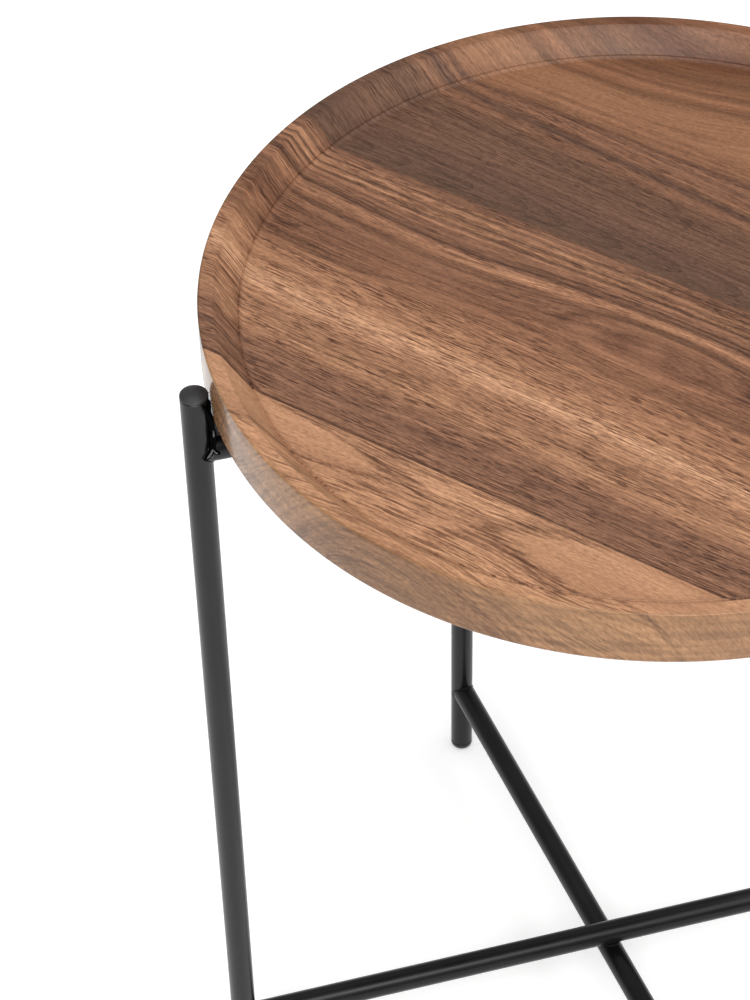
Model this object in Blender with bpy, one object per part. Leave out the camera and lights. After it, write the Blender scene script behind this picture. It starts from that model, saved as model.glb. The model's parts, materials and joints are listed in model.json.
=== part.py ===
"""A round tray table on a folding stand.

A loose round tray with a raised rim lies between the tops of four thin posts.  The posts belong to two
H-shaped tube frames that turn on each other about the table's vertical centre line.  The inner frame passes
over the outer frame just above the floor and under it below the tray, so its two bars sit closer together.
Metres, +Z up, floor at z = 0, the table's centre line on the Z axis.
"""
import math

import bmesh
import bpy

# Whole table
TABLE_HEIGHT = 0.535
OPEN_ANGLE = math.radians(82.3)      # between the two frames, as they stand open
GAP = 0.0003                         # between pieces that rest on or hold each other
SHARP_ANGLE = math.radians(35)       # an edge bent by more than this is shaded as a hard edge

# Tray
TRAY_RADIUS = 0.200
TRAY_HEIGHT = 0.028
TRAY_FLOOR = 0.016                   # thickness under the recess
RIM_TOP_WIDTH = 0.0068
RIM_SLOPE_FOOT = 0.1832              # radius where the inner slope ends
RIM_FOOT_HEIGHT = 0.0012             # of the slope's foot above the floor
GROOVE_WIDTH = 0.0010
GROOVE_DEPTH = 0.0008
COVE_WIDTH = 0.0022
COVE_STEPS = (0.4, 1.0)              # shares of its width where the cove's parabola has a point
TOP_EDGE_ROUND = 0.0009
BOTTOM_EDGE_ROUND = 0.0015
TRAY_SEGMENTS = 120

# Tubes
TUBE_RADIUS = 0.00635
TUBE_WALL = 0.0012
TUBE_BORE = TUBE_RADIUS - TUBE_WALL
TUBE_SEGMENTS = 28
POST_RING_RADIUS = 0.2068            # centre line of the table to each post's axis
POST_TOP = 0.5177
POST_BOTTOM = 0.0043

# Plugs in the ends of the posts
CAP_TOP = 0.5200
CAP_DOME = 0.0011
CAP_DOME_STEPS = (0.6, 0.25, 0.0)    # shares of the radius where the dome's parabola has a point
CAP_EDGE_ROUND = 0.0004
FOOT_ROUND = 0.0026
PLUG_STEM_RADIUS = TUBE_BORE - 0.0004
PLUG_STEM_LENGTH = 0.009
PLUG_STEM_CHAMFER = 0.0008
PLUG_SEGMENTS = 28

# Pivots at the two crossings
WASHER_THICKNESS = 0.0010
WASHER_RADIUS = 0.0050
SLEEVE_RADIUS = 0.0030
SLEEVE_BORE = 0.0026
SLEEVE_PROUD = 0.0005                # below the bar, for the screw head to clamp on
SHANK_RADIUS = 0.00225
SCREW_HEAD_RADIUS = 0.0038
SCREW_HEAD_HEIGHT = 0.0016
SCREW_HEAD_FLAT = 0.0022             # radius of the flat round the socket
SCREW_HEAD_SKIRT = 0.0004            # upright part of the head's side
SCREW_HEAD_STEPS = 4
SCREW_SOCKET_RADIUS = 0.0017
SCREW_SOCKET_DEPTH = 0.0014
SCREW_ABOVE_BAR_AXIS = 0.0030
NUT_ABOVE_BAR_AXIS = 0.0020
NUT_COLLAR_RADIUS = 0.0040
NUT_COLLAR_LOW = -0.0024             # from the bar's axis
NUT_COLLAR_HIGH = -0.0010
PIVOT_SEGMENTS = 20

# Lugs that carry the tray at the inner frame's posts
LUG_DEPTH = 0.0062                   # along the bar
LUG_THICKNESS = 0.0030
LUG_EDGE_ROUND = 0.0005

# Heights of the bars' axes
BAR_STEP = 2 * TUBE_RADIUS + WASHER_THICKNESS + 2 * GAP
TRAY_UNDERSIDE = TABLE_HEIGHT - TRAY_HEIGHT
TOP_BAR_OUTER_Z = TRAY_UNDERSIDE - GAP - TUBE_RADIUS
TOP_BAR_INNER_Z = TOP_BAR_OUTER_Z - BAR_STEP
BOTTOM_BAR_INNER_Z = 0.0640
BOTTOM_BAR_OUTER_Z = BOTTOM_BAR_INNER_Z - BAR_STEP


def clear_scene():
    for item in list(bpy.data.objects):
        bpy.data.objects.remove(item, do_unlink=True)


def make_material(name, colour, roughness, metallic):
    material = bpy.data.materials.new(name)
    material.use_nodes = True
    shader = material.node_tree.nodes["Principled BSDF"]
    shader.inputs["Base Color"].default_value = (*colour, 1.0)
    shader.inputs["Roughness"].default_value = roughness
    shader.inputs["Metallic"].default_value = metallic
    material.diffuse_color = (*colour, 1.0)
    return material


def add_object(name, bm, material=None, parent=None, location=(0, 0, 0), rotation=(0, 0, 0)):
    """Turn a bmesh into an object, shaded smooth except over its hard edges."""
    bmesh.ops.recalc_face_normals(bm, faces=bm.faces)
    mesh = bpy.data.meshes.new(name)
    bm.to_mesh(mesh)
    bm.free()
    mesh.shade_smooth()
    mesh.set_sharp_from_angle(angle=SHARP_ANGLE)
    if material:
        mesh.materials.append(material)
    item = bpy.data.objects.new(name, mesh)
    item.location = location
    item.rotation_euler = rotation
    item.parent = parent
    bpy.context.scene.collection.objects.link(item)
    return item


def add_empty(name, turn):
    item = bpy.data.objects.new(name, None)
    item.rotation_euler = (0, 0, turn)
    bpy.context.scene.collection.objects.link(item)
    return item


def arc(centre_r, centre_z, radius, start_deg, end_deg, steps):
    """Points of an arc in the (radius, height) half plane, both ends included."""
    points = []
    for i in range(steps + 1):
        angle = math.radians(start_deg + (end_deg - start_deg) * i / steps)
        points.append((centre_r + radius * math.cos(angle), centre_z + radius * math.sin(angle)))
    return points


def turned(profile, segments, closed=False):
    """Spin a profile of (radius, height) points round Z.

    An open profile starts and ends on the axis; a closed one makes a ring.
    """
    bm = bmesh.new()
    verts = [bm.verts.new((r, 0, z)) for r, z in profile]
    edges = [bm.edges.new(pair) for pair in zip(verts, verts[1:])]
    if closed:
        edges.append(bm.edges.new((verts[-1], verts[0])))
    bmesh.ops.spin(bm, geom=verts + edges, cent=(0, 0, 0), axis=(0, 0, 1), angle=math.tau,
                   steps=segments, use_merge=True)
    bmesh.ops.remove_doubles(bm, verts=bm.verts, dist=1e-6)
    return bm


def ring(outer, inner, low, high, segments):
    return turned([(inner, low), (outer, low), (outer, high), (inner, high)], segments, closed=True)


def rod(radius, low, high, segments):
    return turned([(0, low), (radius, low), (radius, high), (0, high)], segments)


def add_cutter(name, bm, parent=None, location=(0, 0, 0)):
    item = add_object(name, bm, None, parent, location)
    item.hide_render = True
    item.display_type = "WIRE"
    return item


def cut(item, cutter):
    modifier = item.modifiers.new("cut_" + cutter.name, "BOOLEAN")
    modifier.operation = "DIFFERENCE"
    modifier.object = cutter


def make_tray(material):
    """A disc with a flat rim, a slope down to a fine groove, a small cove and a flat floor."""
    radius = TRAY_RADIUS
    top = TRAY_HEIGHT
    rim_inner = radius - RIM_TOP_WIDTH
    foot_z = TRAY_FLOOR + RIM_FOOT_HEIGHT
    slope = math.atan2(top - foot_z, rim_inner - RIM_SLOPE_FOOT)
    slope_deg = math.degrees(slope)
    low = BOTTOM_EDGE_ROUND
    edge = TOP_EDGE_ROUND
    setback = edge * math.tan(slope / 2)
    groove_inner = RIM_SLOPE_FOOT - GROOVE_WIDTH
    profile = [(0, 0)]
    profile += arc(radius - low, low, low, -90, 0, 4)
    profile += arc(radius - edge, top - edge, edge, 0, 90, 3)
    profile += arc(rim_inner + setback, top - edge, edge, 90, 90 + slope_deg, 3)
    profile += [
        (RIM_SLOPE_FOOT, foot_z),
        (RIM_SLOPE_FOOT - GROOVE_WIDTH / 2, foot_z - GROOVE_DEPTH),
        (groove_inner, foot_z),
    ]
    for share in COVE_STEPS:
        profile.append((groove_inner - COVE_WIDTH * share, TRAY_FLOOR + RIM_FOOT_HEIGHT * (1 - share) ** 2))
    profile.append((0, TRAY_FLOOR))
    # The origin is where the tray's centre line meets its underside, on the axis it is lifted along.
    return add_object("tray", turned(profile, TRAY_SEGMENTS), material, None, (0, 0, TRAY_UNDERSIDE))


def make_post(name, frame, side, material):
    bm = ring(TUBE_RADIUS, TUBE_BORE, 0, POST_TOP - POST_BOTTOM, TUBE_SEGMENTS)
    return add_object(name, bm, material, frame, (side * POST_RING_RADIUS, 0, POST_BOTTOM))


def make_cap(name, frame, side, material):
    """A plug with a shallow dome whose edge is flush with the tube."""
    flange_low = POST_TOP + GAP - CAP_TOP
    shoulder = -CAP_DOME
    stem_low = flange_low - PLUG_STEM_LENGTH
    edge = CAP_EDGE_ROUND
    profile = [
        (0, stem_low),
        (PLUG_STEM_RADIUS - PLUG_STEM_CHAMFER, stem_low),
        (PLUG_STEM_RADIUS, stem_low + PLUG_STEM_CHAMFER),
        (PLUG_STEM_RADIUS, flange_low),
        (TUBE_RADIUS, flange_low),
    ]
    profile += arc(TUBE_RADIUS - edge, shoulder - edge, edge, 0, 75, 2)
    profile += [(TUBE_RADIUS * share, -CAP_DOME * share ** 2) for share in CAP_DOME_STEPS]
    bm = turned(profile, PLUG_SEGMENTS)
    return add_object(name, bm, material, frame, (side * POST_RING_RADIUS, 0, CAP_TOP))


def make_foot(name, frame, side, material):
    """A glide with a flat sole and a well rounded edge."""
    head_top = POST_BOTTOM - GAP
    stem_top = head_top + PLUG_STEM_LENGTH
    profile = [(0, 0)]
    profile += arc(TUBE_RADIUS - FOOT_ROUND, FOOT_ROUND, FOOT_ROUND, -90, 0, 5)
    profile += [
        (TUBE_RADIUS, head_top),
        (PLUG_STEM_RADIUS, head_top),
        (PLUG_STEM_RADIUS, stem_top - PLUG_STEM_CHAMFER),
        (PLUG_STEM_RADIUS - PLUG_STEM_CHAMFER, stem_top),
        (0, stem_top),
    ]
    bm = turned(profile, PLUG_SEGMENTS)
    return add_object(name, bm, material, frame, (side * POST_RING_RADIUS, 0, 0))


def make_bar(name, frame, height, material, cutters):
    """A tube from post to post, its ends coped round the posts and drilled for the pivot."""
    half = POST_RING_RADIUS
    bm = ring(TUBE_RADIUS, TUBE_BORE, -half, half, TUBE_SEGMENTS)
    item = add_object(name, bm, material, frame, (0, 0, height), (0, math.radians(90), 0))
    for cutter in cutters:
        cut(item, cutter)
    return item


def make_lug(name, frame, side, material):
    """An upright tab that stands on the bar beside the post, up to the tray's underside."""
    low = TOP_BAR_INNER_Z + TUBE_RADIUS + GAP
    high = TRAY_UNDERSIDE - GAP
    outer = POST_RING_RADIUS - TUBE_RADIUS - GAP
    bm = bmesh.new()
    bmesh.ops.create_cube(bm, size=1.0)
    bmesh.ops.scale(bm, vec=(LUG_DEPTH, LUG_THICKNESS, high - low), verts=bm.verts)
    bmesh.ops.bevel(bm, geom=bm.edges, offset=LUG_EDGE_ROUND, segments=2, profile=0.5, affect="EDGES")
    centre = (side * (outer - LUG_DEPTH / 2), 0, (low + high) / 2)
    return add_object(name, bm, material, frame, centre)


def make_pivot(place, low_z, materials):
    """The screw, sleeve, washer and nut where a bar at low_z passes under another bar."""
    steel, plastic = materials
    high_z = low_z + BAR_STEP
    sleeve_low = low_z - TUBE_RADIUS - SLEEVE_PROUD
    sleeve_high = low_z + TUBE_RADIUS
    washer_low = sleeve_high + GAP
    nut_low = high_z - TUBE_RADIUS
    nut_high = high_z + NUT_ABOVE_BAR_AXIS
    head_high = sleeve_low - GAP
    head_low = head_high - SCREW_HEAD_HEIGHT

    sleeve = ring(SLEEVE_RADIUS, SLEEVE_BORE, sleeve_low, sleeve_high, PIVOT_SEGMENTS)
    add_object("pivot_sleeve_" + place, sleeve, steel)

    washer = ring(WASHER_RADIUS, SLEEVE_BORE, washer_low, washer_low + WASHER_THICKNESS, PIVOT_SEGMENTS)
    add_object("pivot_washer_" + place, washer, plastic)

    nut_profile = [
        (SLEEVE_BORE, nut_low),
        (SLEEVE_RADIUS, nut_low),
        (SLEEVE_RADIUS, high_z + NUT_COLLAR_LOW),
        (NUT_COLLAR_RADIUS, high_z + NUT_COLLAR_LOW),
        (NUT_COLLAR_RADIUS, high_z + NUT_COLLAR_HIGH),
        (SLEEVE_RADIUS, high_z + NUT_COLLAR_HIGH),
        (SLEEVE_RADIUS, nut_high),
        (SLEEVE_BORE, nut_high),
    ]
    add_object("pivot_nut_" + place, turned(nut_profile, PIVOT_SEGMENTS, closed=True), steel)

    screw_profile = [(0, head_low)]
    for i in range(SCREW_HEAD_STEPS + 1):
        angle = math.radians(90) * i / SCREW_HEAD_STEPS
        bulge = (SCREW_HEAD_RADIUS - SCREW_HEAD_FLAT) * math.sin(angle)
        rise = (SCREW_HEAD_HEIGHT - SCREW_HEAD_SKIRT) * (1 - math.cos(angle))
        screw_profile.append((SCREW_HEAD_FLAT + bulge, head_low + rise))
    screw_profile += [
        (SCREW_HEAD_RADIUS, head_high),
        (SHANK_RADIUS, head_high),
        (SHANK_RADIUS, high_z + SCREW_ABOVE_BAR_AXIS),
        (0, high_z + SCREW_ABOVE_BAR_AXIS),
    ]
    screw = add_object("pivot_screw_" + place, turned(screw_profile, PIVOT_SEGMENTS), steel)
    socket = rod(SCREW_SOCKET_RADIUS, head_low - SCREW_SOCKET_DEPTH, head_low + SCREW_SOCKET_DEPTH, 6)
    cut(screw, add_cutter("socket_cutter_" + place, socket))


def make_pivot_hole(place, low_z):
    """A cutter that drills both walls of the lower bar and the bottom wall of the upper bar."""
    drill = rod(SLEEVE_RADIUS + GAP, low_z - 2 * TUBE_RADIUS, low_z + BAR_STEP, PIVOT_SEGMENTS)
    return add_cutter("pivot_hole_cutter_" + place, drill)


def main():
    clear_scene()
    walnut = make_material("walnut_foil", (0.36, 0.20, 0.12), 0.45, 0.0)
    black = make_material("black_powder_coat", (0.030, 0.030, 0.032), 0.42, 0.0)
    plastic = make_material("black_plastic", (0.040, 0.040, 0.042), 0.38, 0.0)
    steel = make_material("blackened_steel", (0.16, 0.16, 0.17), 0.38, 1.0)
    nylon = make_material("dark_nylon", (0.06, 0.06, 0.06), 0.55, 0.0)

    make_tray(walnut)
    holes = {
        "upper": make_pivot_hole("upper", TOP_BAR_INNER_Z),
        "lower": make_pivot_hole("lower", BOTTOM_BAR_OUTER_Z),
    }
    frames = {
        "inner": (OPEN_ANGLE / 2, {1: "back_right", -1: "front_left"}, TOP_BAR_INNER_Z, BOTTOM_BAR_INNER_Z),
        "outer": (-OPEN_ANGLE / 2, {1: "front_right", -1: "back_left"}, TOP_BAR_OUTER_Z, BOTTOM_BAR_OUTER_Z),
    }
    for frame_name, (turn, corners, top_z, bottom_z) in frames.items():
        axis = add_empty(frame_name + "_frame_axis", turn)
        copes = []
        for side, corner in corners.items():
            make_post("post_" + corner, axis, side, black)
            make_cap("cap_" + corner, axis, side, plastic)
            make_foot("foot_" + corner, axis, side, plastic)
            cope = rod(TUBE_RADIUS + GAP, 0, TABLE_HEIGHT, TUBE_SEGMENTS)
            copes.append(add_cutter("cope_cutter_" + corner, cope, axis, (side * POST_RING_RADIUS, 0, 0)))
            if frame_name == "inner":
                make_lug("rest_lug_" + corner, axis, side, black)
        make_bar("top_bar_" + frame_name, axis, top_z, black, copes + [holes["upper"]])
        make_bar("bottom_bar_" + frame_name, axis, bottom_z, black, copes + [holes["lower"]])
    make_pivot("upper", TOP_BAR_INNER_Z, (steel, nylon))
    make_pivot("lower", BOTTOM_BAR_OUTER_Z, (steel, nylon))


main()
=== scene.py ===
"""Looks for the folding tray table: fine meshes, materials, floor, light and camera.

A loose round tray, a board covered with walnut-print foil, stands on two black tube frames that fold
about the table's centre line. Metres, +Z up, floor at z = 0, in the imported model's frame.
"""

import json
import math
from collections import namedtuple

import bmesh
import bpy
from mathutils import Matrix, Vector


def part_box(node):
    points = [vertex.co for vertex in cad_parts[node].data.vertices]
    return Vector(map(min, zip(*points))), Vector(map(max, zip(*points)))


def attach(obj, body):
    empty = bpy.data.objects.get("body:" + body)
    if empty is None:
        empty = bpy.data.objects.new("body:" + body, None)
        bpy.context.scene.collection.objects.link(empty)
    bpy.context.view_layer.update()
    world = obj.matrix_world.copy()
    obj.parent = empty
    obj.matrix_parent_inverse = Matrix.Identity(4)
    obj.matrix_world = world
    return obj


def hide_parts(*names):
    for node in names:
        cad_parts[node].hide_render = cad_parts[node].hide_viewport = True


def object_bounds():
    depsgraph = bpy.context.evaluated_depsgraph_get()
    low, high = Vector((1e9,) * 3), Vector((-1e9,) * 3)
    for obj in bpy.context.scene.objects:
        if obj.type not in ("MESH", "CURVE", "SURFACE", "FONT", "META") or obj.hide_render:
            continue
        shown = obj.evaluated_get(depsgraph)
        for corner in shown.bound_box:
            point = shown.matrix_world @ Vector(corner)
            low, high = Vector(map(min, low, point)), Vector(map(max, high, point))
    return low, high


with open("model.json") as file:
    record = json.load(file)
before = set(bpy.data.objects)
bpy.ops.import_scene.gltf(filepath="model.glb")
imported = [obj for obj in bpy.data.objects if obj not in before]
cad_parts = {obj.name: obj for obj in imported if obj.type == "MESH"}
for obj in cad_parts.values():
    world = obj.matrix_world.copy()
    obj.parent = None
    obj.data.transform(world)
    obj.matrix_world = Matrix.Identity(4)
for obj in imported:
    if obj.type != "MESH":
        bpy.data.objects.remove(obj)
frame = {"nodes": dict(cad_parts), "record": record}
CAD_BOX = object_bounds()
BODY_OF = {node: body for body, nodes in frame["record"]["behaviour"]["bodies"].items() for node in nodes}
MM = 0.001

# ---- sizes

# Tray section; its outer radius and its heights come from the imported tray
TRAY_BOARD = 0.016  # board thickness under the recess
RIM_TOP_WIDTH = 0.0068
SLOPE_FOOT = 0.1832  # radius where the inner slope ends
SLOPE_FOOT_RISE = 0.0012
GROOVE_WIDTH = 0.0010
GROOVE_DEPTH = 0.0008
GROOVE_LIP = 0.0001  # by which the groove's edges are broken
COVE_WIDTH = 0.0022
COVE_STEPS = 8
TOP_EDGE_ROUND = 0.0009
BOTTOM_EDGE_ROUND = 0.0015
FLAT_RINGS = (0.06, 0.13)  # radii of extra rings that keep the flat faces' triangles short
FLOOR_EDGE_RING = 0.176
WALL_RINGS = (0.010, 0.018)  # heights of extra rings on the outer wall, over its base
BASE_EDGE_RING = 0.0012  # reach of the last ring under the tray from the bottom edge's round
TRAY_SEGMENTS = 384

# Tubes and their plugs
TUBE_RADIUS = 0.00635
TUBE_BORE = 0.00515
TUBE_SEGMENTS = 64
TUBE_LIP = 0.0003  # chamfer at a post's ends
BITE = 0.0004  # how far a coped bar end sinks into its post's wall
PLUG_STEM_RADIUS = 0.00475
PLUG_STEM_CHAMFER = 0.0008
PLUG_SEAT_GAP = 0.0003  # between a plug's collar and the end of its post
PLUG_SEAT_CHAMFER = 0.00015
CAP_DOME = 0.0011
CAP_EDGE_ROUND = 0.0004
CAP_STEPS = 8
FOOT_ROUND = 0.0026
GATE_MARK_RADIUS = 0.00035
GATE_MARK_DROP = 0.0006  # its depth under the cap's shoulder

# Pivots
SLEEVE_RADIUS = 0.0030
SLEEVE_BORE = 0.0026
EDGE_CHAMFER = 0.0001  # at the sleeve's foot and round the screw's head
NUT_COLLAR = (0.0024, 0.0010)  # depths of the nut's collar under its tube's axis
SHANK_RADIUS = 0.00225
SHANK_CHAMFER = 0.0003
SOCKET_RADIUS = 0.0017
SOCKET_DEPTH = 0.0014
SOCKET_LAND = 0.0004  # flat ring round the socket
HEAD_HEIGHT = 0.0016
HEAD_DOME = 0.85  # share of the head's height that is domed
HEAD_STEPS = 9
PIVOT_SEGMENTS = 48
DRILL_CLEARANCE = 0.0003

# Welds
WELD_RADIUS = 0.0008
WELD_STEPS = 128
WELD_SEGMENTS = 12
RIPPLE_COUNT = 26  # of the bead's ripples in one turn
RIPPLE_HEIGHT = 0.04  # as a share of its radius
TACK_BEAD_STEP = 0.3  # mm between the balls that a tack stroke is built from
TACK_VOXEL = 0.00022


# ---- mesh helpers

def arc(centre_r, centre_z, radius, start_deg, end_deg, steps):
    """Points of an arc in the (radius, height) half plane, both ends included."""
    points = []
    for i in range(steps + 1):
        angle = math.radians(start_deg + (end_deg - start_deg) * i / steps)
        points.append((centre_r + radius * math.cos(angle), centre_z + radius * math.sin(angle)))
    return points


def join(bm, a, b):
    """A strip of faces between two rings of vertices; a ring may be a single vertex."""
    count = max(len(a), len(b))
    for i in range(count):
        j = (i + 1) % count
        corners = [a[i % len(a)], a[j % len(a)], b[j % len(b)], b[i % len(b)]]
        bm.faces.new(list(dict.fromkeys(corners)))


def turned(profile, segments, closed=False, centre=(0.0, 0.0)):
    """A bmesh turned round a vertical line from (radius, height) points.

    An open profile starts and ends on the line; a closed one makes a ring.
    """
    bm = bmesh.new()
    rings = []
    for radius, height in profile:
        if radius < 1e-7:
            rings.append([bm.verts.new((centre[0], centre[1], height))])
            continue
        turn = []
        for i in range(segments):
            angle = math.tau * i / segments
            turn.append(bm.verts.new((centre[0] + radius * math.cos(angle),
                                      centre[1] + radius * math.sin(angle), height)))
        rings.append(turn)
    if closed:
        rings.append(rings[0])
    for low, high in zip(rings, rings[1:]):
        join(bm, low, high)
    return bm


def upright(radius, low, high, segments):
    """An upright prism on the table's centre line, for drilling with."""
    return turned([(0, low), (radius, low), (radius, high), (0, high)], segments)


def add_object(name, data):
    """An object in the scene for a camera, a lamp or a mesh; a bmesh becomes a mesh first."""
    if isinstance(data, bmesh.types.BMesh):
        bm = data
        data = bpy.data.meshes.new(name)
        bm.to_mesh(data)
        bm.free()
    item = bpy.data.objects.new(name, data)
    bpy.context.scene.collection.objects.link(item)
    return item


def add_piece(name, bm, materials, body, nodes=(), sharp_deg=35):
    """Turn a bmesh into a piece that rides on a body, and may stand for CAD nodes."""
    bmesh.ops.recalc_face_normals(bm, faces=bm.faces)
    piece = add_object(name, bm)
    piece.data.shade_smooth()
    piece.data.set_sharp_from_angle(angle=math.radians(sharp_deg))
    for material in materials:
        piece.data.materials.append(material)
    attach(piece, body)
    if nodes:
        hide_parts(*nodes)


def stand_in(node, suffix, bm, materials):
    """A piece that stands for one CAD node."""
    add_piece(node + suffix, bm, materials, BODY_OF[node], [node])


def evaluated_mesh(item):
    """The item's mesh with its modifiers applied, as a bmesh; the item itself is removed."""
    graph = bpy.context.evaluated_depsgraph_get()
    bm = bmesh.new()
    bm.from_object(item, graph)
    bpy.data.objects.remove(item, do_unlink=True)
    return bm


def drilled(bm, cutter):
    """The bmesh with the cutter bmesh taken away from it."""
    item = add_object("scratch", bm)
    tool = add_object("scratch", cutter)
    modifier = item.modifiers.new("drill", "BOOLEAN")
    modifier.operation = "DIFFERENCE"
    modifier.object = tool
    result = evaluated_mesh(item)
    bpy.data.objects.remove(tool, do_unlink=True)
    return result


def transformed(bm, matrix):
    bmesh.ops.transform(bm, matrix=matrix, verts=bm.verts)
    return bm


# ---- places in the frame

def post_centre(corner):
    low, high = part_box("post_" + corner)
    return (low + high) / 2


def middle_height(node):
    low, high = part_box(node)
    return (low.z + high.z) / 2


def half_span(start, end):
    """Half the distance between two posts' axes."""
    return (post_centre(end) - post_centre(start)).length / 2


def frame_matrix(start, end, height):
    """A frame at the table's centre line whose X runs from one post to the other."""
    way = post_centre(end) - post_centre(start)
    turn = math.atan2(way.y, way.x)
    return Matrix.Translation((0, 0, height)) @ Matrix.Rotation(turn, 4, "Z")


# ---- material graphs

class Graph:
    """Short calls that build one material's nodes. Inputs may be sockets or plain numbers."""

    def __init__(self, name):
        self.material = bpy.data.materials.new(name)
        self.material.use_nodes = True
        self.tree = self.material.node_tree
        self.shader = self.tree.nodes["Principled BSDF"]

    def put(self, socket, value):
        if isinstance(value, bpy.types.NodeSocket):
            self.tree.links.new(value, socket)
        else:
            socket.default_value = value

    def node(self, kind, **settings):
        made = self.tree.nodes.new(kind)
        for key, value in settings.items():
            setattr(made, key, value)
        return made

    def position(self):
        """X, Y and Z in the model's frame, riding with the piece."""
        split = self.node("ShaderNodeSeparateXYZ")
        self.put(split.inputs[0], self.node("ShaderNodeTexCoord").outputs["Object"])
        return split.outputs

    def math(self, operation, *values):
        made = self.node("ShaderNodeMath", operation=operation)
        for socket, value in zip(made.inputs, values):
            self.put(socket, value)
        return made.outputs[0]

    def add(self, *values):
        total = values[0]
        for value in values[1:]:
            total = self.math("ADD", total, value)
        return total

    def times(self, *values):
        total = values[0]
        for value in values[1:]:
            total = self.math("MULTIPLY", total, value)
        return total

    def less(self, a, b):
        return self.math("SUBTRACT", a, b)

    def most(self, a, b):
        return self.math("MAXIMUM", a, b)

    def power(self, value, exponent):
        return self.math("POWER", value, exponent)

    def length(self, x, y):
        return self.math("SQRT", self.add(self.times(x, x), self.times(y, y)))

    def point(self, x, y, z=0.0):
        made = self.node("ShaderNodeCombineXYZ")
        for socket, value in zip(made.inputs, (x, y, z)):
            self.put(socket, value)
        return made.outputs[0]

    def noise(self, point, detail=2.0):
        """Smooth noise, mostly between 0.3 and 0.7; a cell is one unit of the point wide."""
        made = self.node("ShaderNodeTexNoise")
        for name, value in (("Vector", point), ("Scale", 1.0), ("Detail", detail)):
            self.put(made.inputs[name], value)
        return made.outputs["Fac"]

    def grain(self, place, counts, detail=2.0):
        """Noise over an (x, y, z) place in metres, with so many cells to the metre along each."""
        return self.noise(self.point(*(self.times(at, count) for at, count in zip(place, counts))), detail)

    def remap(self, value, low, high, to_low=0.0, to_high=1.0, smooth=True):
        kind = "SMOOTHSTEP" if smooth else "LINEAR"
        made = self.node("ShaderNodeMapRange", interpolation_type=kind, clamp=True)
        for socket, number in zip(made.inputs, (value, low, high, to_low, to_high)):
            self.put(socket, number)
        return made.outputs[0]

    def mix(self, factor, a, b):
        made = self.node("ShaderNodeMix", data_type="FLOAT")
        for place, value in ((0, factor), (2, a), (3, b)):
            self.put(made.inputs[place], value)
        return made.outputs[0]

    def mix_colour(self, factor, a, b, how="MIX"):
        made = self.node("ShaderNodeMix", data_type="RGBA", blend_type=how)
        for place, value in ((0, factor), (6, a), (7, b)):
            self.put(made.inputs[place], value)
        return made.outputs[2]

    def ramp(self, value, stops):
        """A colour ramp over 0 to 1 from (place, colour) stops."""
        made = self.node("ShaderNodeValToRGB")
        elements = made.color_ramp.elements
        while len(elements) < len(stops):
            elements.new(0.5)
        for element, (place, colour) in zip(elements, stops):
            element.position = place
            element.color = colour
        self.put(made.inputs[0], value)
        return made.outputs[0]

    def bump(self, height, strength, distance):
        made = self.node("ShaderNodeBump")
        made.inputs["Strength"].default_value = strength
        made.inputs["Distance"].default_value = distance
        self.put(made.inputs["Height"], height)
        self.put(self.shader.inputs["Normal"], made.outputs[0])

    def set(self, **values):
        """Values for the shader's own sockets, with _ for a space in their names."""
        for name, value in values.items():
            self.put(self.shader.inputs[name.replace("_", " ")], value)


def linear(channel):
    """A display channel of 0 to 255 as linear light."""
    share = channel / 255
    if share <= 0.04045:
        return share / 12.92
    return ((share + 0.055) / 1.055) ** 2.4


def tone(red, green, blue):
    return (linear(red), linear(green), linear(blue), 1.0)


def grey(level):
    return (level, level, level, 1.0)


# ---- walnut foil

GRAIN_TURN = math.radians(-6.75)  # the grain's direction from +X
WALL_EDGE = (0.0014, 0.0004)  # insets from the tray's radius between which the foil turns down
SLOPE_EDGE = (0.001, 0.003)  # reach past the slope's foot over which the drawn foil sets in
SLOPE_TOP_FADE = 0.0015  # and over which it ends before the rim's inner edge
SLOPE_PALE_AND_LIT = (1.14, 1.17, 1.17, 1.0)  # the print is drawn paler over the slope, and the tint also paints in the extra light the slope catches
SLOPE_CRUMPLE = 1.3  # mm by which the grain is pushed about there
WALL_STRETCH = 0.5  # foil drawn down the wall shows half as much print for its length
WALL_RELIEF = 0.4  # and its grain stands out less
FOIL_ROUGHNESS = (0.38, 0.16)  # laid flat, and drawn down the wall
FOIL_GLOSS = 0.26
FOIL_BUMP = 0.20
FOIL_RELIEF = 0.0002

# A plank of the print: its reach across the grain in mm from the tray's centre line, its tones as
# (place in mm, display colour), a row of noise of its own, and how strongly each kind of grain shows
Plank = namedtuple("Plank", "low high tones row lines streaks dashes")

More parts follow.
